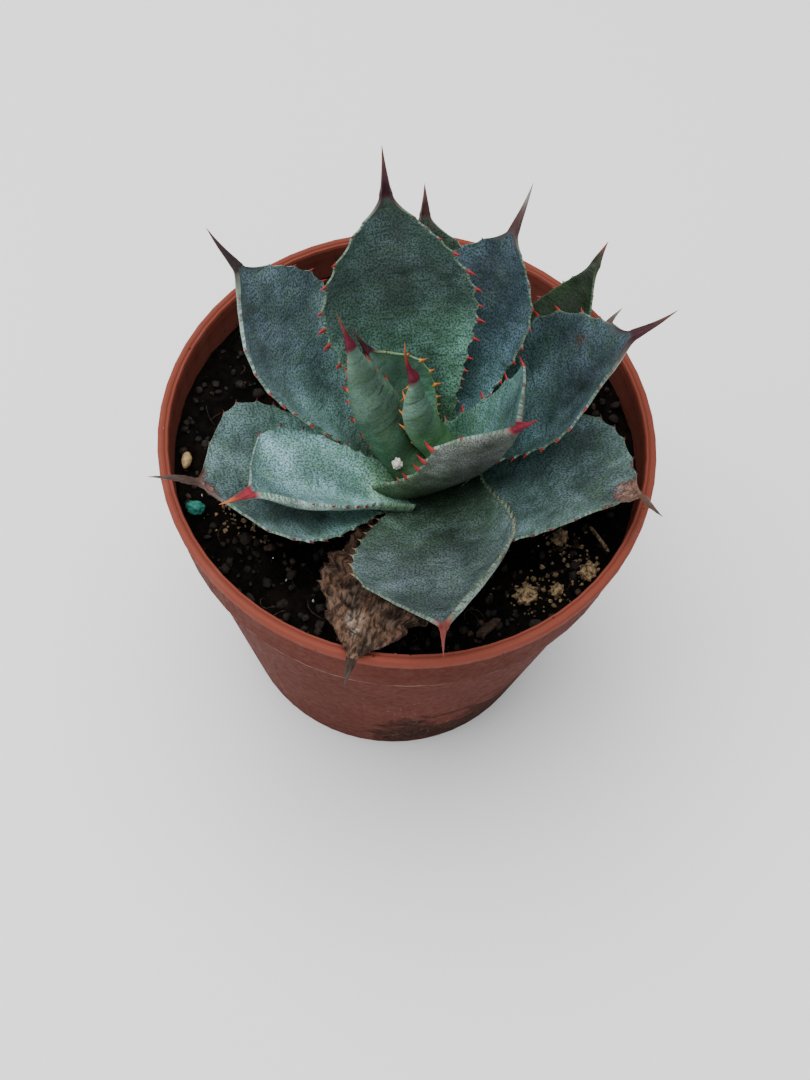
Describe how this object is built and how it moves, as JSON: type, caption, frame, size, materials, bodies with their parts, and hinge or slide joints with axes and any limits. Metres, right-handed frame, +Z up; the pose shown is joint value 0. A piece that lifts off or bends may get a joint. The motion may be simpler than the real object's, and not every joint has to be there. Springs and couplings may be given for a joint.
{
  "type": "potted agave",
  "caption": "potted agave: a rosette of broad, spine-tipped, toothed leaves in a tapered plastic nursery pot part-filled with soil",
  "frame": {"origin": "middle of the pot's flat underside, on the pot's vertical axis", "axes": "+Z is up along the pot's axis; -Y is the front, the side that the front leaf leans over; +X is to the right seen from the front"},
  "size_m": [0.17, 0.1818, 0.2346],
  "materials": {
    "pot_plastic": "satin brick-brown polypropylene, dusty and scuffed",
    "soil": "damp near-black potting soil with fibres and crumbs",
    "stem_bark": "short stem covered by old leaf bases",
    "leaf_skin": "waxy blue-grey leaf skin with fine dark mottling and pale margins",
    "heart_leaf_skin": "waxy young leaf skin, greener and brighter",
    "dead_leaf": "dry wrinkled brown leaf",
    "pebble": "smooth tan stone",
    "feed_granule": "dull blue-green fertiliser granule",
    "bark_chip": "weathered bark",
    "soil_clod": "dry crumbly earth",
    "straw": "dry stalk",
    "perlite": "chalky white grain"
  },
  "bodies": {
    "root": {"pot": "pot_plastic", "soil": "soil", "stem": "stem_bark", "leaf_back_tall": "leaf_skin", "leaf_back_left": "leaf_skin", "leaf_behind": "leaf_skin", "leaf_back_right": "leaf_skin", "leaf_low_back_right": "leaf_skin", "leaf_low_right": "leaf_skin", "leaf_right": "leaf_skin", "leaf_front_right": "leaf_skin", "leaf_front": "leaf_skin", "leaf_left_upper": "leaf_skin", "leaf_left_lower": "leaf_skin", "leaf_folded_right": "leaf_skin", "leaf_heart_front": "heart_leaf_skin", "leaf_heart_back": "heart_leaf_skin", "leaf_heart_core": "heart_leaf_skin", "leaf_dead": "dead_leaf", "pebble": "pebble", "feed_granule": "feed_granule", "bark_chip": "bark_chip", "soil_clod_1": "soil_clod", "soil_clod_2": "soil_clod", "soil_clod_3": "soil_clod", "soil_clod_4": "soil_clod", "straw": "straw", "perlite_grain": "perlite"}
  },
  "joints": []
}
